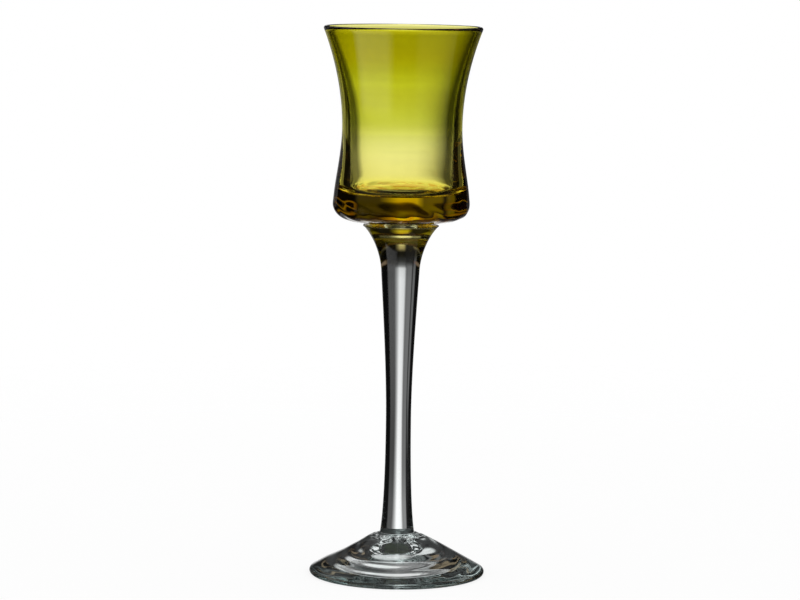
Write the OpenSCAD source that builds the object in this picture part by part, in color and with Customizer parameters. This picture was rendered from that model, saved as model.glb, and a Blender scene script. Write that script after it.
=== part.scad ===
// Cordial glass: an amber bowl on a clear drawn stem and a clear cone foot.
// Three gathers of hot glass, fused face to face at two flat joints.
// Millimetres, +Z up. The origin is the middle of the face that the foot
// rests on. Every outline is a half section, written as [radius, height].

/* [Bowl] */
// Height of the bowl, from the stem joint to the top of the rim
bowl_h = 60.5; // [52:0.5:75]
// Outside diameter of the rim
rim_d = 48.9; // [42:0.1:60]
// Thickness of the fire-polished lip
lip_t = 1.4; // [1:0.1:2.2]
// Lean of the flared wall at the lip, in degrees from upright
flare_lean = 21; // [6:1:32]
// Outside diameter of the waist
waist_d = 37; // [32:0.1:41]
// Height of the waist above the stem joint
waist_h = 29.5; // [22:0.5:36]
// Thickness of the wall from the waist down
wall_t = 2.4; // [1.6:0.1:3.4]
// Outside diameter of the heavy base, at its widest
base_d = 42; // [38:0.1:50]
// Height of the widest place of the base above the stem joint
base_h = 6.5; // [4.5:0.1:8.5]
// Thickness of the glass under the cup, at the edge of its floor
floor_t = 8.8; // [6:0.1:11]
// Radius of the corner between the wall and the floor of the cup
floor_corner_r = 2.7; // [1:0.1:4.5]
// Depth of the dish in the floor of the cup
floor_dish = 0.5; // [0.1:0.1:1.5]

/* [Stem] */
// Length of the stem, from the foot joint to the bowl joint
stem_h = 96.4; // [80:0.2:120]
// Diameter of the stem where it stands on the foot
stem_foot_d = 10.6; // [8.6:0.1:14]
// Diameter of the stem at its thinnest
stem_waist_d = 7.8; // [6:0.1:8.4]
// Height of the thinnest place above the foot joint
stem_waist_h = 35.8; // [25:0.2:50]
// Diameter of the stem at the neck, under the flare
neck_d = 11.9; // [9:0.1:14]
// Height of the flare, from the neck to the bowl joint
flare_h = 14.4; // [10:0.1:20]
// Diameter of the lip of the flare
flare_d = 23.4; // [19:0.1:27]
// Thickness of the lip of the flare
flare_lip_t = 0.4; // [0.2:0.1:1]
// Drop of the flare's top from the joint to its lip, the groove under the bowl
flare_drop = 0.55; // [0.2:0.05:1.2]
// Diameter of the flat joint between the stem and the bowl
bowl_joint_d = 16.4; // [12:0.1:18]

/* [Foot] */
// Outside diameter of the foot
foot_d = 54.4; // [46:0.1:66]
// Height of the foot, from the table to the stem joint
foot_h = 13.1; // [11:0.1:17]
// Thickness of the rounded edge
foot_edge_t = 1.8; // [1:0.1:2.6]
// Slope of the foot's top near its edge, in degrees from level
foot_slope = 30; // [24:1:36]
// Slope of the foot's crown beside the stem, in degrees from level
crown_slope = 12; // [4:1:20]
// Width of the flat ring that rests on the table
rest_w = 1.2; // [0.6:0.1:2.5]
// Height of the hollow under the foot
hollow_h = 7.2; // [5:0.1:8.4]

/* [Hidden] */
facets = 180;
// Straight steps along one curve, and along the small rounds of the lips
curve_steps = 14;
round_steps = 8;

// How far each handle of a curve reaches, as a share of the height or the
// width that its curve spans. The first of a pair is the lower or inner one.
bowl_under_shares = [0.65, 0.83];
bowl_side_shares = [0.22, 0.37];
bowl_flare_shares = [0.4, 0.26];
cup_flare_shares = [0.35, 0.28];
stem_foot_shares = [0.22, 0.39];
stem_neck_shares = [0.31, 0.26];
stem_flare_shares = [0.36, 0.3];
foot_top_shares = [0.14, 0.64];
hollow_shares = [0.34, 0.26];
dish_shares = [0.5, 0.5];
// Rise of the bowl's underside at the end of its first handle
bowl_under_rise_share = 0.13;
// Rise of the hollow at the end of its outer handle
hollow_rise_share = 0.15;

// Lean of the stem's side, in degrees from upright, at three places
stem_foot_lean = -8;
neck_lean = 3.5;
flare_lip_lean = 47;

// Half of a diameter
bowl_joint_r = bowl_joint_d / 2;
stem_foot_r = stem_foot_d / 2;
foot_joint_z = foot_h;
bowl_joint_z = foot_h + stem_h;

// Inside of the cup: straight from the waist down
cup_r = waist_d / 2 - wall_t;

// Unit directions: up the wall at a lean from upright, and out of the wall
function up_wall(lean) = [sin(lean), cos(lean)];
function out_of_wall(lean) = [cos(lean), -sin(lean)];

// Point at share u of the cubic curve through the ends a and d
function on_curve(a, b, c, d, u) =
    pow(1 - u, 3) * a + 3 * u * pow(1 - u, 2) * b
    + 3 * u * u * (1 - u) * c + pow(u, 3) * d;
function curve(a, b, c, d) =
    [for (i = [0 : curve_steps]) on_curve(a, b, c, d, i / curve_steps)];
function arc(centre, r, from, to) =
    [for (i = [0 : round_steps])
        let (angle = from + (to - from) * i / round_steps)
        centre + r * [cos(angle), sin(angle)]];

function reverse(points) = [for (i = [len(points) - 1 : -1 : 0]) points[i]];

// Curve that rises from a to b, with a lean from upright at each end
function rising(a, lean_a, b, lean_b, shares) =
    let (rise = b[1] - a[1])
    curve(
        a,
        a + shares[0] * rise * up_wall(lean_a),
        b - shares[1] * rise * up_wall(lean_b),
        b
    );

module bowl() {
    joint_edge = [bowl_joint_r, 0];
    widest = [base_d / 2, base_h];
    waist = [waist_d / 2, waist_h];
    lip_r = lip_t / 2;
    lip_centre = [rim_d / 2 - lip_r, bowl_h - lip_r];
    lip_out = lip_centre + lip_r * out_of_wall(flare_lean);
    lip_in = lip_centre - lip_r * out_of_wall(flare_lean);
    cup_waist = [cup_r, waist_h];
    cup_corner = [cup_r - floor_corner_r, floor_t + floor_corner_r];
    floor_edge = [cup_r - floor_corner_r, floor_t];
    floor_middle = [0, floor_t - floor_dish];

    under = curve(
        joint_edge,
        joint_edge + [
            bowl_under_shares[0] * (widest[0] - joint_edge[0]),
            bowl_under_rise_share * base_h
        ],
        widest - [0, bowl_under_shares[1] * base_h],
        widest
    );
    side = rising(widest, 0, waist, 0, bowl_side_shares);
    flare = rising(waist, 0, lip_out, flare_lean, bowl_flare_shares);
    lip = arc(lip_centre, lip_r, -flare_lean, 180 - flare_lean);
    cup_flare = rising(cup_waist, 0, lip_in, flare_lean, cup_flare_shares);
    cup_round = arc(cup_corner, floor_corner_r, 0, -90);
    dish = curve(
        floor_edge,
        floor_edge - [dish_shares[0] * floor_edge[0], 0],
        floor_middle + [dish_shares[1] * floor_edge[0], 0],
        floor_middle
    );

    color("olive", 0.6)
    translate([0, 0, bowl_joint_z])
    rotate_extrude($fn = facets)
    polygon(concat(
        [[0, 0]], under, side, flare, lip, reverse(cup_flare),
        cup_round, dish
    ));
}

module stem() {
    foot_end = [stem_foot_r, 0];
    waist = [stem_waist_d / 2, stem_waist_h];
    neck = [neck_d / 2, stem_h - flare_h];
    joint_edge = [bowl_joint_r, stem_h];
    lip_r = flare_lip_t / 2;
    lip_centre = [flare_d / 2 - lip_r, stem_h - flare_drop - lip_r];
    lip_under = lip_centre + lip_r * out_of_wall(flare_lip_lean);
    groove_slope = atan2(flare_drop, lip_centre[0] - joint_edge[0]);

    shank = rising(foot_end, stem_foot_lean, waist, 0, stem_foot_shares);
    upper = rising(waist, 0, neck, neck_lean, stem_neck_shares);
    flare = rising(neck, neck_lean, lip_under, flare_lip_lean, stem_flare_shares);
    lip = arc(lip_centre, lip_r, -flare_lip_lean, 90 - groove_slope);

    color("lightgray", 0.6)
    translate([0, 0, foot_joint_z])
    rotate_extrude($fn = facets)
    polygon(concat(
        [[0, 0]], shank, upper, flare, lip, [joint_edge], [[0, stem_h]]
    ));
}

module foot() {
    edge_r = foot_edge_t / 2;
    edge_centre = [foot_d / 2 - edge_r, edge_r];
    top_end = edge_centre + edge_r * [sin(foot_slope), cos(foot_slope)];
    joint_edge = [stem_foot_r, foot_h];
    top_run = top_end[0] - joint_edge[0];
    ring_edge = [edge_centre[0] - rest_w, 0];
    hollow_top = [0, hollow_h];

    top = curve(
        joint_edge,
        joint_edge + foot_top_shares[0] * top_run * [1, -tan(crown_slope)],
        top_end - foot_top_shares[1] * top_run * [1, -tan(foot_slope)],
        top_end
    );
    edge = arc(edge_centre, edge_r, 90 - foot_slope, -90);
    hollow = curve(
        ring_edge,
        [ring_edge[0] * (1 - hollow_shares[1]), hollow_h * hollow_rise_share],
        hollow_top + [hollow_shares[0] * ring_edge[0], 0],
        hollow_top
    );

    color("lightgray", 0.6)
    rotate_extrude($fn = facets)
    polygon(concat([[0, foot_h]], top, edge, hollow));
}

bowl();
stem();
foot();
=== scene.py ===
import math

import bpy
from mathutils import Matrix, Vector, noise


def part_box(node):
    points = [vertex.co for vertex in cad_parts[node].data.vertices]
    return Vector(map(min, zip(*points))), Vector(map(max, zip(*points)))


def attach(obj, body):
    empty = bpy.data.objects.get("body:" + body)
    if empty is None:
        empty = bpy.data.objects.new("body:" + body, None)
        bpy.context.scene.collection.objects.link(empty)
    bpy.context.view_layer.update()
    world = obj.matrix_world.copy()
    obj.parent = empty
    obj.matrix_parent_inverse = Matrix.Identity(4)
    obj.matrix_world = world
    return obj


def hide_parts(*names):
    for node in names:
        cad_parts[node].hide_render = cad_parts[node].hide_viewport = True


# The cordial glass: an amber bowl fused to a clear stem and a clear foot. Each is a closed mesh turned
# from a half section, with the slight unevenness of hot-worked glass. The glass is in millimetres here
# and becomes metres in lathe(). The camera and the floor are in metres.
MM = 0.001

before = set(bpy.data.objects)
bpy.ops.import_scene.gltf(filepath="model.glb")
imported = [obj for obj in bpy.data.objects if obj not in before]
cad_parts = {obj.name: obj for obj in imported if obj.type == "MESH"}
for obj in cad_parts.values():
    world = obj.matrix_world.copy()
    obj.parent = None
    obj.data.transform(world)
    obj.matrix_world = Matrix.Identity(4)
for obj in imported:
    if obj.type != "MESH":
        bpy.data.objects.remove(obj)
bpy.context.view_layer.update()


def in_mm(node):
    """Radius, bottom and top of a CAD node."""
    low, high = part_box(node)
    return high.x / MM, low.z / MM, high.z / MM


RIM_R, BOWL_Z, RIM_Z = in_mm("bowl")
FLARE_R, STEM_Z, STEM_TOP_Z = in_mm("stem")
FOOT_R, _, FOOT_TOP_Z = in_mm("foot")

# Sizes as in the CAD. R is a radius, H a height above the piece's lower end, T a thickness and W a width.
# Leans are in degrees from upright, and slopes in degrees from level.
# Bowl
LIP_T = 1.4
FLARE_LEAN = 21
WAIST_R = 18.5
WAIST_H = 29.5
WALL_T = 2.4
BASE_R = 21
BASE_H = 6.5
FLOOR_T = 8.8
FLOOR_CORNER_R = 2.7
FLOOR_DISH = 0.5
BOWL_JOINT_R = 8.2

# Stem
STEM_FOOT_R = 5.3
STEM_FOOT_LEAN = -8
STEM_WAIST_R = 3.9
STEM_WAIST_H = 35.8
NECK_R = 5.95
NECK_LEAN = 3.5
FLARE_H = 14.4
FLARE_LIP_T = 0.4
FLARE_LIP_LEAN = 47
FLARE_DROP = 0.55

# Foot
FOOT_EDGE_T = 1.8
FOOT_SLOPE = 30
CROWN_SLOPE = 12
REST_W = 1.2
HOLLOW_H = 7.2

# How far each handle of a curve reaches, as a share of the height or the width that its curve spans
BOWL_UNDER_SHARES = (0.65, 0.83)
BOWL_UNDER_RISE_SHARE = 0.13
BOWL_SIDE_SHARES = (0.22, 0.37)
BOWL_FLARE_SHARES = (0.4, 0.26)
CUP_FLARE_SHARES = (0.35, 0.28)
DISH_SHARE = 0.5
STEM_FOOT_SHARES = (0.22, 0.39)
STEM_NECK_SHARES = (0.31, 0.26)
STEM_FLARE_SHARES = (0.36, 0.3)
FOOT_TOP_SHARES = (0.14, 0.64)
HOLLOW_SHARES = (0.34, 0.26)
HOLLOW_RISE_SHARE = 0.15

# Fused faces stay this far apart, so that each piece is closed by itself
JOINT_GAP = 0.02

# Steps around the axis and along the outlines
AROUND_STEPS = 288
CURVE_STEPS = 26
ROUND_STEPS = 12
CUP_WALL_STEPS = 16
SHANK_STEPS = 36
UPPER_STEM_STEPS = 40
FOOT_STEPS = 48
FOOT_EDGE_STEPS = 16
BOWL_JOINT_STEPS = 4
FOOT_JOINT_STEPS = 3
GROOVE_STEPS = 4

# A radius under this is on the axis, and an edge sharper than this many degrees stays sharp
ON_AXIS = 1e-6
SHARP_EDGE = 32


def up_wall(lean):
    """Unit direction up a wall that leans outwards from upright."""
    return Vector((math.sin(math.radians(lean)), math.cos(math.radians(lean))))


def out_of_wall(lean):
    """Unit direction square to that wall, outwards."""
    return Vector((math.cos(math.radians(lean)), -math.sin(math.radians(lean))))


def falling(slope):
    """One step outwards and down a slope."""
    return Vector((1, -math.tan(math.radians(slope))))


def curve(a, b, c, d, steps=CURVE_STEPS):
    """Points of the cubic curve from a to d, with the handles b and c."""
    points = []
    for i in range(steps + 1):
        u = i / steps
        v = 1 - u
        points.append(v**3 * a + 3 * u * v**2 * b + 3 * u**2 * v * c + u**3 * d)
    return points


def arc(centre, r, start, end, steps=ROUND_STEPS):
    """Points of an arc, where 0 degrees is outwards and 90 is up."""
    angles = [math.radians(start + (end - start) * i / steps) for i in range(steps + 1)]
    return [centre + r * Vector((math.cos(t), math.sin(t))) for t in angles]


def rising(a, lean_a, b, lean_b, shares, steps=CURVE_STEPS):
    """Curve that rises from a to b, with a lean from upright at each end."""
    rise = b.y - a.y
    return curve(a, a + shares[0] * rise * up_wall(lean_a), b - shares[1] * rise * up_wall(lean_b), b, steps)


def line(a, b, steps=1):
    return [a.lerp(b, i / steps) for i in range(steps + 1)]


def joined(*runs):
    """One outline from runs of points, each of which starts where the one before it ends."""
    outline = runs[0][:1]
    for run in runs:
        outline += run[1:]
    return outline


def raised(points, z):
    return [Vector((p.x, p.y + z)) for p in points]


def bowl_outline():
    height = RIM_Z - BOWL_Z
    joint_edge = Vector((BOWL_JOINT_R, 0))
    widest = Vector((BASE_R, BASE_H))
    waist = Vector((WAIST_R, WAIST_H))
    lip_r = LIP_T / 2
    lip_centre = Vector((RIM_R - lip_r, height - lip_r))
    lip_out = lip_centre + lip_r * out_of_wall(FLARE_LEAN)
    lip_in = lip_centre - lip_r * out_of_wall(FLARE_LEAN)
    cup_r = WAIST_R - WALL_T
    cup_waist = Vector((cup_r, WAIST_H))
    cup_corner = Vector((cup_r - FLOOR_CORNER_R, FLOOR_T + FLOOR_CORNER_R))
    floor_edge = Vector((cup_corner.x, FLOOR_T))
    floor_middle = Vector((0, FLOOR_T - FLOOR_DISH))
    dish_handle_r = DISH_SHARE * floor_edge.x
    joint = line(Vector((0, 0)), joint_edge, BOWL_JOINT_STEPS)
    under = curve(
        joint_edge,
        joint_edge + Vector((BOWL_UNDER_SHARES[0] * (BASE_R - BOWL_JOINT_R), BOWL_UNDER_RISE_SHARE * BASE_H)),
        widest - Vector((0, BOWL_UNDER_SHARES[1] * BASE_H)),
        widest,
    )
    side = rising(widest, 0, waist, 0, BOWL_SIDE_SHARES)
    flare = rising(waist, 0, lip_out, FLARE_LEAN, BOWL_FLARE_SHARES)
    lip = arc(lip_centre, lip_r, -FLARE_LEAN, 180 - FLARE_LEAN)
    cup_flare = rising(cup_waist, 0, lip_in, FLARE_LEAN, CUP_FLARE_SHARES)[::-1]
    cup_wall = line(cup_waist, cup_corner + Vector((FLOOR_CORNER_R, 0)), CUP_WALL_STEPS)
    cup_round = arc(cup_corner, FLOOR_CORNER_R, 0, -90)
    dish = curve(
        floor_edge,
        Vector((dish_handle_r, floor_edge.y)),
        Vector((dish_handle_r, floor_middle.y)),
        floor_middle,
    )
    return raised(joined(joint, under, side, flare, lip, cup_flare, cup_wall, cup_round, dish), BOWL_Z)


def stem_outline():
    height = STEM_TOP_Z - STEM_Z - JOINT_GAP
    foot_end = Vector((STEM_FOOT_R, 0))
    waist = Vector((STEM_WAIST_R, STEM_WAIST_H))
    neck = Vector((NECK_R, height - FLARE_H))
    joint_edge = Vector((BOWL_JOINT_R, height))
    lip_r = FLARE_LIP_T / 2
    lip_centre = Vector((FLARE_R - lip_r, height - FLARE_DROP - lip_r))
    lip_under = lip_centre + lip_r * out_of_wall(FLARE_LIP_LEAN)
    groove_slope = math.degrees(math.atan2(FLARE_DROP, lip_centre.x - joint_edge.x))
    lower_joint = line(Vector((0, 0)), foot_end, FOOT_JOINT_STEPS)
    shank = rising(foot_end, STEM_FOOT_LEAN, waist, 0, STEM_FOOT_SHARES, SHANK_STEPS)
    upper = rising(waist, 0, neck, NECK_LEAN, STEM_NECK_SHARES, UPPER_STEM_STEPS)
    flare = rising(neck, NECK_LEAN, lip_under, FLARE_LIP_LEAN, STEM_FLARE_SHARES)
    lip = arc(lip_centre, lip_r, -FLARE_LIP_LEAN, 90 - groove_slope)
    groove = line(lip[-1], joint_edge, GROOVE_STEPS)
    upper_joint = line(joint_edge, Vector((0, height)), BOWL_JOINT_STEPS)
    return raised(joined(lower_joint, shank, upper, flare, lip, groove, upper_joint), STEM_Z)


def foot_outline():
    height = FOOT_TOP_Z - JOINT_GAP
    edge_r = FOOT_EDGE_T / 2
    edge_centre = Vector((FOOT_R - edge_r, edge_r))
    top_end = edge_centre + edge_r * up_wall(FOOT_SLOPE)
    joint_edge = Vector((STEM_FOOT_R, height))
    top_run = top_end.x - joint_edge.x
    ring_edge = Vector((edge_centre.x - REST_W, 0))
    hollow_top = Vector((0, HOLLOW_H))
    joint = line(Vector((0, height)), joint_edge, FOOT_JOINT_STEPS)
    top = curve(
        joint_edge,
        joint_edge + FOOT_TOP_SHARES[0] * top_run * falling(CROWN_SLOPE),
        top_end - FOOT_TOP_SHARES[1] * top_run * falling(FOOT_SLOPE),
        top_end,
        FOOT_STEPS,
    )
    edge = arc(edge_centre, edge_r, 90 - FOOT_SLOPE, -90, FOOT_EDGE_STEPS)
    ring = line(edge[-1], ring_edge)
    hollow = curve(
        ring_edge,
        Vector((ring_edge.x * (1 - HOLLOW_SHARES[1]), HOLLOW_H * HOLLOW_RISE_SHARE)),
        hollow_top + Vector((HOLLOW_SHARES[0] * ring_edge.x, 0)),
        hollow_top,
        FOOT_STEPS,
    )
    return joined(joint, top, edge, ring, hollow)[::-1]


def lathe(name, outline, unevenness):
    """Closed mesh turned from an outline that starts and ends on the axis. unevenness(r, z, angle, normal) is
    how far a point sinks along the surface's normal."""
    last = len(outline) - 1
    tangents = [outline[min(i + 1, last)] - outline[max(i - 1, 0)] for i in range(len(outline))]
    normals = [Vector((t.y, -t.x)).normalized() for t in tangents]
    vertices = []
    rings = []
    for point, normal in zip(outline, normals):
        on_axis = point.x < ON_AXIS
        count = 1 if on_axis else AROUND_STEPS
        rings.append(range(len(vertices), len(vertices) + count))
        for k in range(count):
            angle = 2 * math.pi * k / AROUND_STEPS
            sunk = 0 if on_axis else unevenness(point.x, point.y, angle, normal)
            r = point.x - normal.x * sunk
            z = point.y - normal.y * sunk
            vertices.append(Vector((r * math.cos(angle), r * math.sin(angle), z)) * MM)
    faces = []
    for lower, upper in zip(rings, rings[1:]):
        for k in range(AROUND_STEPS):
            corners = [lower[k % len(lower)], lower[(k + 1) % len(lower)],
                       upper[(k + 1) % len(upper)], upper[k % len(upper)]]
            faces.append(list(dict.fromkeys(corners)))
    mesh = bpy.data.meshes.new(name)
    mesh.from_pydata(vertices, [], faces)
    mesh.update()
    mesh.shade_smooth()
    mesh.set_sharp_from_angle(angle=math.radians(SHARP_EDGE))
    piece = bpy.data.objects.new(name, mesh)
    bpy.context.scene.collection.objects.link(piece)
    return piece


def fuse(piece, *joints):
    """Gives the fused faces, at these heights and within these radii, the piece's second material."""
    for face in piece.data.polygons:
        r = math.hypot(face.center.x, face.center.y) / MM
        for z, joint_r in joints:
            if r < joint_r and abs(face.center.z / MM - z) < JOINT_GAP:
                face.material_index = 1


# Depths of the marks that hot work leaves, in millimetres
BASE_WAVE_DEPTH = 0.75
WALL_WAVE_DEPTH = 0.006
FLOOR_WAVE_DEPTH = 0.015
STEM_WAVE_DEPTH = 0.015
CROWN_DEPTH = 0.35
FOOT_WAVE_DEPTH = 0.06
FOOT_LEAN_DEPTH = 0.25
HOLLOW_WAVE_DEPTH = 0.03
HOLLOW_RING_DEPTH = 0.03
PONTIL_DEPTH = 0.3

# Ripples, as (fineness round the glass, fineness per millimetre up or outwards, seed)
BASE_RIPPLE = (3.2, 0.12, 3)
FINE_BASE_RIPPLE = (5, 0.2, 7)
WALL_RIPPLE = (0.5, 0.35, 21)
CUP_RIPPLE = (0.6, 0.5, 31)
FLOOR_RIPPLE = (1.6, 0.12, 13)
STEM_RIPPLE = (0.8, 0.06, 41)
CROWN_RIPPLE = (2.6, 0.6, 51)
FINE_CROWN_RIPPLE = (5, 1.1, 57)
FOOT_RIPPLE = (1.5, 0.12, 61)
HOLLOW_RIPPLE = (1.2, 0.15, 71)
RING_RIPPLE = (0.9, 0.1, 75)
PONTIL_RIPPLE = (1.6, 0.8, 83)

# Where a mark fades in or out, as (start, end) in millimetres: heights above the piece's lower end, and radii
# in the foot and where the name has an R
RIM_FADE = (54, 59)
BASE_FADE = (5, 8.5)
FLOOR_FADE = (FLOOR_T + 0.5, FLOOR_T + 3)
UNDER_R_FADE = (BOWL_JOINT_R, BOWL_JOINT_R + 4)
STEM_FOOT_FADE = (0, 4)
STEM_FLARE_FADE = (88, 94)
STEM_JOINT_R_FADE = (2, 3.5)
CROWN_FADE_IN = (STEM_FOOT_R, STEM_FOOT_R + 0.8)
CROWN_FADE_OUT = (7.5, 9)
FOOT_FADE_IN = (6, 10)
FOOT_FADE_OUT = (21, 25)
LEAN_FADE_IN = (7, 13)
LEAN_FADE_OUT = (17, 24)
HOLLOW_FADE_IN = (0, 3)
HOLLOW_FADE_OUT = (21, 24.5)
PONTIL_FADE_IN = (0, 0.8)
PONTIL_FADE_OUT = (2.5, 5.5)

# The waves of the base wind round it by this many radians per millimetre up. In its middle and at its back
# they have these shares of their depth.
BASE_TWIST = 0.05
FINE_BASE_TWIST = 0.08
BASE_MIDDLE_SHARE = 0.4
BASE_BACK_SHARE = 0.1
# How deep the finer ripples are beside the broad ones
FINE_BASE_SHARE = 0.5
FINE_CROWN_SHARE = 0.3
# How far the foot's crown and the pontil mark sink between their ripples, as a share of their depth
CROWN_SUNK = 0.6
PONTIL_SUNK = 0.5
# The rings in the hollow: millimetres from ring to ring, how far they wander and where they start, in rings
RING_STEP = 4.6
RING_WANDER = 0.3
RING_START = 0.25
# A surface faces outwards, or up or down, where its unit normal points that way by more than this
FACES_OUT = 0.1
FACES_UP = 0.3


def ripple(angle, z, around, up, seed):
    """Smooth noise from -1 to 1 that closes round the axis."""
    return noise.noise(Vector((math.cos(angle) * around, math.sin(angle) * around, z * up + seed)))


def faded_in(value, fade):
    """0 at the start of the fade and 1 at its end, smooth between."""
    start, end = fade
    share = min(max((value - start) / (end - start), 0), 1)
    return share * share * (3 - 2 * share)


def faded_out(value, fade):
    return 1 - faded_in(value, fade)


def bowl_unevenness(r, z, angle, normal):
    height = z - BOWL_Z
    rim = faded_out(height, RIM_FADE)
    if normal.x > FACES_OUT or height < FLOOR_T / 2:
        base = faded_in(r, UNDER_R_FADE) * faded_out(height, BASE_FADE)
        # The waves are deepest at the sides, and deeper in front than behind
        sides = BASE_MIDDLE_SHARE + (1 - BASE_MIDDLE_SHARE) * abs(math.cos(angle))
        front = (1 + BASE_BACK_SHARE - (1 - BASE_BACK_SHARE) * math.sin(angle)) / 2
        waves = ripple(angle + BASE_TWIST * height, height, *BASE_RIPPLE)
        waves += FINE_BASE_SHARE * ripple(angle + FINE_BASE_TWIST * height, height, *FINE_BASE_RIPPLE)
        wall = WALL_WAVE_DEPTH * ripple(angle, height, *WALL_RIPPLE)
        return rim * (BASE_WAVE_DEPTH * base * front * sides * waves + wall)
    floor = FLOOR_WAVE_DEPTH * faded_out(height, FLOOR_FADE) * ripple(angle, r, *FLOOR_RIPPLE)
    return rim * (floor + WALL_WAVE_DEPTH * ripple(angle, height, *CUP_RIPPLE))


def stem_unevenness(r, z, angle, normal):
    height = z - STEM_Z
    side = faded_in(height, STEM_FOOT_FADE) * faded_out(height, STEM_FLARE_FADE)
    side *= faded_in(r, STEM_JOINT_R_FADE)
    return STEM_WAVE_DEPTH * side * ripple(angle, height, *STEM_RIPPLE)


def foot_unevenness(r, z, angle, normal):
    if normal.y > FACES_UP:
        crown = faded_in(r, CROWN_FADE_IN) * faded_out(r, CROWN_FADE_OUT)
        crinkles = ripple(angle, r, *CROWN_RIPPLE) + FINE_CROWN_SHARE * ripple(angle, r, *FINE_CROWN_RIPPLE)
        waves = faded_in(r, FOOT_FADE_IN) * faded_out(r, FOOT_FADE_OUT) * ripple(angle, r, *FOOT_RIPPLE)
        # The foot's top leans: its left flank is hollower than its right one
        leaning = faded_in(r, LEAN_FADE_IN) * faded_out(r, LEAN_FADE_OUT) * (1 - math.cos(angle))
        sunk = CROWN_DEPTH * crown * (CROWN_SUNK + crinkles)
        return sunk + FOOT_WAVE_DEPTH * waves + FOOT_LEAN_DEPTH * leaning
    if normal.y < -FACES_UP:
        hollow = faded_in(r, HOLLOW_FADE_IN) * faded_out(r, HOLLOW_FADE_OUT)
        waves = HOLLOW_WAVE_DEPTH * ripple(angle, r, *HOLLOW_RIPPLE)
        wander = RING_WANDER * ripple(angle, r, *RING_RIPPLE)
        rings = HOLLOW_RING_DEPTH * math.sin(2 * math.pi * (r / RING_STEP + wander + RING_START))
        pontil = faded_out(r, PONTIL_FADE_OUT) * faded_in(r, PONTIL_FADE_IN)
        pontil *= PONTIL_SUNK + ripple(angle, r, *PONTIL_RIPPLE)
        return hollow * (waves + rings) + PONTIL_DEPTH * pontil
    return 0


def add(tree, kind, sockets, **settings):
    """New node of a tree. A socket gets a number, a colour or another node's output."""
    made = tree.nodes.new("ShaderNode" + kind)
    for name, value in settings.items():
        setattr(made, name, value)
    for key, value in sockets.items():
        if isinstance(value, bpy.types.NodeSocket):
            tree.links.new(value, made.inputs[key])
        else:
            made.inputs[key].default_value = value
    return made


def math_node(tree, operation, *values):
    return add(tree, "Math", dict(enumerate(values)), operation=operation).outputs[0]


def vector_node(tree, operation, *values):
    return add(tree, "VectorMath", dict(enumerate(values)), operation=operation).outputs[0]


def grey(level):
    return (level, level, level, 1)


def colour_ramp(tree, value, stops):
    """Colour that follows a value through (value, red, green, blue) stops."""
    low, high = stops[0][0], stops[-1][0]
    share = add(tree, "MapRange", {"Value": value, "From Min": low, "From Max": high})
    made = add(tree, "ValToRGB", {"Fac": share.outputs[0]})
    elements = made.color_ramp.elements
    while len(elements) > 1:
        elements.remove(elements[-1])
    for i, (place, *colour) in enumerate(stops):
        position = (place - low) / (high - low)
        element = elements[0] if i == 0 else elements.new(position)
        element.position = position
        element.color = (*colour, 1)
    return made.outputs["Color"]


def ramp(tree, value, stops):
    """Brightness that follows a value through (value, brightness) stops."""
    return colour_ramp(tree, value, [(place, level, level, level) for place, level in stops])


IOR = 1.52
# Light that the glass takes up per metre, as (red, green, blue)
AMBER_ABSORPTION = (10, 21, 185)
CLEAR_ABSORPTION = (3.5, 0.9, 1.2)

# Tints, as (millimetres above the table, red, green, blue), and the foot's by its clouds, from 0 to 1
AMBER_TINTS = [(126, 0.99, 1, 1), (135, 0.975, 1, 0.74), (138, 0.955, 0.985, 0.57), (141, 0.885, 0.93, 0.38),
               (147, 0.82, 0.845, 0.24), (153, 0.82, 0.85, 0.18), (155, 0.75, 0.77, 0.115),
               (160, 0.705, 0.685, 0.03), (168, 0.68, 0.665, 0.02), (168.6, 0.82, 0.8, 0.25),
               (170, 0.94, 0.92, 0.5)]
# The stem's darker band from about 96 to 104 mm is painted shade in the neck. Above it comes the trace of
# amber.
STEM_TINTS_AND_PAINTED_SHADE = [(92, 1, 1, 1), (96, 0.85, 0.85, 0.84), (98.5, 0.5, 0.5, 0.48), (100.5, 0.18, 0.16, 0.1),
              (103, 0.25, 0.19, 0.06), (104.2, 0.86, 0.72, 0.25), (110, 0.86, 0.76, 0.25)]
FOOT_TINTS = [(0.35, 0.95, 1, 0.99), (0.6, 1, 1, 1)]
# Tint of what the bowl reflects, by height: white on the cup, and on the heavy base a painted shade that dims
# the reflection and turns it amber
AMBER_SHINES_AND_PAINTED_SHADE = [(116.5, 0.2, 0.13, 0.03), (119.5, 1, 1, 1)]

# The painted red-brown shade of the heavy base, in place of the dark streaks that its uneven glass refracts:
# its tint by strength, its strength by the streaks and its share by height
RED_SHADE_TINTS = [(0, 1, 1, 1), (1, 0.72, 0.36, 0.22)]
RED_SHADE_STREAKS = [(0.42, 0.15), (0.55, 1)]
RED_SHADE_HEIGHTS = [(113, 1), (115.5, 0)]

# Noise, as (how often per millimetre across, how often per millimetre along, detail)
RED_SHADE_NOISE = (0.3, 0.03, 2)
FOOT_NOISE = (0.12, 0.12, 2)
STREAK_DETAIL = 3
# The part of the noise's range that makes streaks
STREAK_RANGE = (0.3, 0.7)
# Streaks, as (how often per millimetre across, how often per millimetre along, depth)
LEVEL_STREAKS = (0.03, 0.9, 0.025)
BROAD_STREAKS = (0.08, 0.16, 0.02)
STEM_STREAKS = (1.5, 0.04, 0.03)
FOOT_STREAKS = (0.35, 0.35, 0.05)
# Seeds, as (spacing of the cells in millimetres, size in millimetres, share of the cells that hold one)
AMBER_SEEDS = (5, 0.2, 0.03)
STEM_SEEDS = (4, 0.16, 0.05)
FOOT_SEEDS = (5, 0.2, 0.04)
SEED_DARKNESS = 0.55

# The joint on the foot: how much light it lets through, its cloudy share and the grey of that cloud
FOOT_JOINT_LIGHT = 0.45
FOOT_JOINT_CLOUD = 0.5
CLOUD_GREY = grey(0.8)


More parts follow.
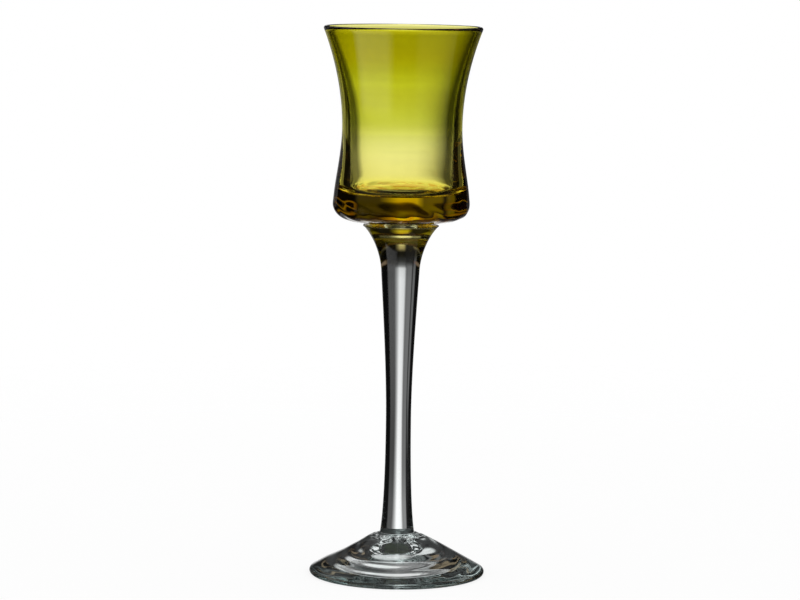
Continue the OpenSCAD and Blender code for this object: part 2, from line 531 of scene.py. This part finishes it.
def absorbing(red, green, blue):
    """Volume sockets that take up this much light per metre."""
    most = max(red, green, blue)
    return {"Color": (1 - red / most, 1 - green / most, 1 - blue / most, 1), "Density": most}


def glass(name, absorption, tint, joint_light=1, joint_cloud=0, shine=None):
    """Polished coloured glass, and the same glass with see-through faces for a fused joint. The joint lets
    joint_light of the light through, and joint_cloud is its cloudy share. shine is the colour of what the
    glass reflects straight on."""
    material = bpy.data.materials.new(name)
    material.use_nodes = True
    tree = material.node_tree
    shader = tree.nodes["Principled BSDF"]
    output = tree.nodes["Material Output"]
    shader.inputs["Transmission Weight"].default_value = 1
    shader.inputs["IOR"].default_value = IOR
    shader.inputs["Roughness"].default_value = 0
    tree.links.new(tint(tree), shader.inputs["Base Color"])
    if shine:
        tree.links.new(shine(tree), shader.inputs["Specular Tint"])
    volume = add(tree, "VolumeAbsorption", absorbing(*absorption))
    tree.links.new(volume.outputs[0], output.inputs["Volume"])
    joint = material.copy()
    joint.name = name + "_joint"
    seam = joint.node_tree
    see_through = add(seam, "BsdfTransparent", {"Color": grey(joint_light)})
    cloud = add(seam, "BsdfDiffuse", {"Color": CLOUD_GREY})
    both = add(seam, "MixShader", {0: joint_cloud, 1: see_through.outputs[0], 2: cloud.outputs[0]})
    seam.links.new(both.outputs[0], seam.nodes["Material Output"].inputs["Surface"])
    return material, joint


def place_in_mm(tree):
    """Where a point of the glass is, in millimetres."""
    at = add(tree, "TexCoord", {}).outputs["Object"]
    return add(tree, "VectorMath", {0: at, 3: 1 / MM}, operation="SCALE").outputs[0]


def height_of(tree, at):
    return add(tree, "SeparateXYZ", {0: at}).outputs["Z"]


def noise_node(tree, at, across, along, detail):
    """Noise from 0 to 1 that changes this often per millimetre across and along the glass."""
    stretched = vector_node(tree, "MULTIPLY", at, (across, across, along))
    return add(tree, "TexNoise", {"Vector": stretched, "Scale": 1, "Detail": detail}).outputs["Fac"]


def streaked(tree, colour, at, across, along, depth):
    """The colour with faint streaks, which come this often per millimetre across and along the glass."""
    streaks = noise_node(tree, at, across, along, STREAK_DETAIL)
    strength = ramp(tree, streaks, [(STREAK_RANGE[0], 1 - depth), (STREAK_RANGE[1], 1)])
    return vector_node(tree, "MULTIPLY", colour, strength)


def seeded(tree, colour, at, spacing, size, share):
    """The colour with seeds, the tiny bubbles in glass: one in this share of the cells of this spacing."""
    cells = add(tree, "TexVoronoi", {"Vector": at, "Scale": 1 / spacing}).outputs
    near = math_node(tree, "LESS_THAN", cells["Distance"], size / spacing)
    drawn = add(tree, "SeparateXYZ", {0: cells["Color"]}).outputs["X"]
    chosen = math_node(tree, "LESS_THAN", drawn, share)
    seed = math_node(tree, "MULTIPLY", near, chosen)
    clear = math_node(tree, "SUBTRACT", 1, math_node(tree, "MULTIPLY", seed, SEED_DARKNESS))
    return vector_node(tree, "MULTIPLY", colour, clear)


def painted_red_shade_below(tree, colour, at, height):
    """The colour with upright red-brown streaks of painted shade in the heavy base, in place of the dark
    streaks that its uneven glass refracts.
    """
    streaks = ramp(tree, noise_node(tree, at, *RED_SHADE_NOISE), RED_SHADE_STREAKS)
    share = math_node(tree, "MULTIPLY", streaks, ramp(tree, height, RED_SHADE_HEIGHTS))
    return vector_node(tree, "MULTIPLY", colour, colour_ramp(tree, share, RED_SHADE_TINTS))


def amber_tint(tree):
    """The colour deepens up the wall, as in the photo, with red-brown streaks of painted shade in the base,
    level streaks and seeds.
    """
    at = place_in_mm(tree)
    height = height_of(tree, at)
    colour = painted_red_shade_below(tree, colour_ramp(tree, height, AMBER_TINTS), at, height)
    colour = streaked(tree, colour, at, *LEVEL_STREAKS)
    colour = streaked(tree, colour, at, *BROAD_STREAKS)
    return seeded(tree, colour, at, *AMBER_SEEDS)


def amber_shine_and_painted_shade(tree):
    """The cup reflects the pale card in front of it. The heavy base reflects less, because the photo shows no
    reflection of the card there."""
    # The dimmer, amber reflection on the heavy base is painted shade.
    return colour_ramp(tree, height_of(tree, place_in_mm(tree)), AMBER_SHINES_AND_PAINTED_SHADE)


def stem_tint_and_painted_shade(tree):
    """Clear glass with a trace of amber drawn down into the flare, a band of painted shade across the neck
    below it, and fine streaks along the stem.
    """
    at = place_in_mm(tree)
    colour = streaked(tree, colour_ramp(tree, height_of(tree, at), STEM_TINTS_AND_PAINTED_SHADE), at, *STEM_STREAKS)
    return seeded(tree, colour, at, *STEM_SEEDS)


def foot_tint(tree):
    """Clear glass with a trace of green in cloudy streaks."""
    at = place_in_mm(tree)
    colour = colour_ramp(tree, noise_node(tree, at, *FOOT_NOISE), FOOT_TINTS)
    return seeded(tree, streaked(tree, colour, at, *FOOT_STREAKS), at, *FOOT_SEEDS)


AMBER = glass("amber_glass", AMBER_ABSORPTION, amber_tint, shine=amber_shine_and_painted_shade)
STEM_CLEAR = glass("clear_glass_stem", CLEAR_ABSORPTION, stem_tint_and_painted_shade)
FOOT_CLEAR = glass("clear_glass_foot", CLEAR_ABSORPTION, foot_tint, FOOT_JOINT_LIGHT, FOOT_JOINT_CLOUD)


def place(piece, node, slot, materials):
    """Gives a piece its materials and its body, and hides the CAD node that it stands for. slot is not used.
    """
    for material in materials:
        piece.data.materials.append(material)
    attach(piece, "root")
    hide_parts(node)


bowl = lathe("amber_bowl", bowl_outline(), bowl_unevenness)
place(bowl, "bowl", "amber_glass", AMBER)
fuse(bowl, (BOWL_Z, BOWL_JOINT_R))

stem = lathe("clear_stem", stem_outline(), stem_unevenness)
place(stem, "stem", "clear_glass", STEM_CLEAR)
fuse(stem, (STEM_Z, STEM_FOOT_R), (STEM_TOP_Z - JOINT_GAP, BOWL_JOINT_R))

foot = lathe("clear_foot", foot_outline(), foot_unevenness)
place(foot, "foot", "clear_glass", FOOT_CLEAR)
fuse(foot, (FOOT_TOP_Z - JOINT_GAP, STEM_FOOT_R))

# Camera, in metres and degrees
CAMERA_BACK = 1.0
CAMERA_UP = 0.201
CAMERA_DOWN = 6.582
CAMERA_ROLL = 0.75
PHOTO_WIDTH_PX = 800
FOCAL_PX = 3257.36
SENSOR_MM = 36


def make_camera():
    data = bpy.data.cameras.new("camera")
    data.sensor_width = SENSOR_MM
    data.lens = FOCAL_PX * SENSOR_MM / PHOTO_WIDTH_PX
    camera = bpy.data.objects.new("camera", data)
    bpy.context.scene.collection.objects.link(camera)
    camera.matrix_world = (
        Matrix.Translation((0, -CAMERA_BACK, CAMERA_UP))
        @ Matrix.Rotation(math.radians(90 - CAMERA_DOWN), 4, "X")
        @ Matrix.Rotation(math.radians(CAMERA_ROLL), 4, "Z")
    )
    bpy.context.scene.camera = camera


# The studio's brightness by direction, as (degrees, brightness). Around the glass, 0 is straight behind it
# from the camera's place and 90 is on the right. Upwards, 0 is the horizon.
# A lit screen stands behind the glass. Below the horizon it is brighter than white, where the lower part of
# the cup looks at it.
SCREEN = [(-17, 0), (-14, 0.1), (-11, 0.45), (-9, 0.85), (-5, 0.95), (0, 1), (2, 0.92), (4, 0.72), (6, 0.5),
          (8, 0.34), (10, 0.21), (13, 0.06), (16, 0)]
SCREEN_UPWARDS = [(-90, 0.3), (-60, 0.3), (-50, 1.15), (-13, 1.15), (-9, 1.02), (-5, 0.94), (-3, 0.87),
                  (0.5, 0.82), (2, 0.45), (4, 0.2), (8, 0.07), (18, 0.05), (22, 1), (60, 1), (70, 0.2),
                  (90, 0.05)]
# How much narrower the screen looks than at the horizon
SCREEN_NARROWS = [(-90, 2), (-42, 1.7), (-32, 1.1), (-25, 0.85), (-18, 0.8), (-13, 0.9), (-9, 1), (11, 1),
                  (14, 1.5), (90, 1.5)]
# Round the screen come grey cloth, black flags, a grey wall on the right and the dim room behind the camera.
ROOM = [(-180, 0.02), (-97, 0.02), (-90, 0.003), (-29, 0.003), (-26, 0.17), (-18, 0.17), (0, 0.07),
        (18, 0.06), (28, 0.06), (32, 0.003), (82, 0.003), (88, 0.1), (150, 0.1), (160, 0.02), (180, 0.02)]
ROOM_UPWARDS = [(-90, 1.6), (-14, 1.6), (-11, 1), (3, 1), (8, 0.2), (90, 0.2)]
# A pale card stands low in front of the glass, on the left.
FRONT_CARD = [(-166, 0), (-150, 0.75), (-100, 0.85), (-90, 0)]
FRONT_CARD_UPWARDS = [(-47, 0), (-43, 1), (-14, 1), (-8, 0.12), (90, 0.12)]
# A dim strip stands behind the glass, left of the cloth.
STRIP = [(-42, 0), (-39, 0.15), (-33, 0.14), (-29, 0)]
STRIP_UPWARDS = [(-11, 0), (-8.5, 0.6), (-6, 1), (90, 1)]
# Dim warm cards stand just above the horizon on both sides, and grey ones higher up.
SIDE_CARDS = [(-85, 0), (-75, 0.26), (-36, 0.26), (-28, 0), (28, 0), (36, 0.26), (75, 0.26), (85, 0)]
SIDE_CARDS_UPWARDS = [(5, 0), (8, 1), (10.5, 1), (12.5, 0)]
SIDE_CARD_COLOUR = (1, 0.7, 0.45)
HIGH_CARDS = [(-88, 0), (-80, 0.34), (-30, 0.34), (-22, 0), (22, 0), (30, 0.18), (80, 0.18), (88, 0)]
HIGH_CARDS_UPWARDS = [(24, 0), (29, 1), (50, 1), (58, 0)]
# A light hangs overhead, and a little light comes up from the table.
ABOVE_AND_BELOW = [(-90, 0.04), (-55, 0.04), (-45, 0), (50, 0), (60, 0.15), (90, 0.15)]


def in_degrees(tree, radians):
    return math_node(tree, "MULTIPLY", radians, 180 / math.pi)


def lit(tree, around, upwards, around_stops, upwards_stops):
    """Brightness of one part of the studio, which is what its two ramps make together."""
    return math_node(tree, "MULTIPLY", ramp(tree, around, around_stops), ramp(tree, upwards, upwards_stops))


def in_glass(tree):
    """1 for what is seen in or through the glass, and 0 for the camera and for lighting."""
    path = add(tree, "LightPath", {}).outputs
    return math_node(tree, "MAXIMUM", path["Is Glossy Ray"], path["Is Transmission Ray"])


def make_studio():
    """World that is plain white, and shows the studio's screens and flags in the glass."""
    world = bpy.data.worlds.new("studio")
    bpy.context.scene.world = world
    world.use_nodes = True
    tree = world.node_tree
    tree.nodes.clear()
    direction = add(tree, "TexCoord", {}).outputs["Generated"]
    parts = add(tree, "SeparateXYZ", {0: direction}).outputs
    around = in_degrees(tree, math_node(tree, "ARCTAN2", parts["X"], parts["Y"]))
    upwards = in_degrees(tree, math_node(tree, "ARCSINE", parts["Z"]))
    narrowed = math_node(tree, "MULTIPLY", around, ramp(tree, upwards, SCREEN_NARROWS))
    brightness = lit(tree, narrowed, upwards, SCREEN, SCREEN_UPWARDS)
    for stops, upwards_stops in (
        (ROOM, ROOM_UPWARDS),
        (STRIP, STRIP_UPWARDS),
        (FRONT_CARD, FRONT_CARD_UPWARDS),
        (HIGH_CARDS, HIGH_CARDS_UPWARDS),
    ):
        more = lit(tree, around, upwards, stops, upwards_stops)
        brightness = math_node(tree, "MAXIMUM", brightness, more)
    brightness = math_node(tree, "MAXIMUM", brightness, ramp(tree, upwards, ABOVE_AND_BELOW))
    side_cards = lit(tree, around, upwards, SIDE_CARDS, SIDE_CARDS_UPWARDS)
    warm = vector_node(tree, "MULTIPLY", side_cards, SIDE_CARD_COLOUR)
    studio = vector_node(tree, "MAXIMUM", brightness, warm)
    white = add(tree, "Background", {"Color": grey(1)})
    shown = add(tree, "Background", {"Color": studio})
    both = add(tree, "MixShader", {0: in_glass(tree), 1: white.outputs[0], 2: shown.outputs[0]})
    output = add(tree, "OutputWorld", {})
    tree.links.new(both.outputs[0], output.inputs["Surface"])


FLOOR_R = 0.5
FLOOR_CORNERS = 120
# The floor is whole up to this radius, and fades from there to its edge
FLOOR_WHOLE_R = 0.25
FLOOR_PAINT = grey(0.95)
# The share of the floor that the camera sees as plain white, so that the shadow is faint, and its strength
FLOOR_WHITE = 0.8
FLOOR_GLOW = 1


def make_floor():
    """Round white floor that keeps a soft shadow, and fades into the white world."""
    mesh = bpy.data.meshes.new("floor")
    angles = [2 * math.pi * k / FLOOR_CORNERS for k in range(FLOOR_CORNERS)]
    corners = [(FLOOR_R * math.cos(angle), FLOOR_R * math.sin(angle), 0) for angle in angles]
    mesh.from_pydata(corners, [], [list(range(len(corners)))])
    floor = bpy.data.objects.new("floor", mesh)
    bpy.context.scene.collection.objects.link(floor)
    material = bpy.data.materials.new("pale_floor")
    material.use_nodes = True
    tree = material.node_tree
    tree.nodes.clear()
    paint = add(tree, "BsdfDiffuse", {"Color": FLOOR_PAINT})
    white = add(tree, "Emission", {"Color": grey(1), "Strength": FLOOR_GLOW})
    seen = math_node(tree, "MULTIPLY", add(tree, "LightPath", {}).outputs["Is Camera Ray"], FLOOR_WHITE)
    pale = add(tree, "MixShader", {0: seen, 1: paint.outputs[0], 2: white.outputs[0]})
    place_on_floor = add(tree, "TexCoord", {}).outputs["Object"]
    distance = add(tree, "VectorMath", {0: place_on_floor}, operation="LENGTH").outputs["Value"]
    edge = ramp(tree, distance, [(0, 0), (FLOOR_WHOLE_R, 0), (FLOOR_R, 1)])
    fade = math_node(tree, "MAXIMUM", in_glass(tree), edge)
    see_through = add(tree, "BsdfTransparent", {})
    both = add(tree, "MixShader", {0: fade, 1: pale.outputs[0], 2: see_through.outputs[0]})
    output = add(tree, "OutputMaterial", {})
    tree.links.new(both.outputs[0], output.inputs["Surface"])
    mesh.materials.append(material)


make_camera()
make_studio()
make_floor()

BOUNCES = 32
GLOSSY_BOUNCES = 16

scene = bpy.context.scene
scene.view_settings.view_transform = "Standard"
scene.cycles.max_bounces = BOUNCES
scene.cycles.transmission_bounces = BOUNCES
scene.cycles.glossy_bounces = GLOSSY_BOUNCES
scene.cycles.transparent_max_bounces = BOUNCES
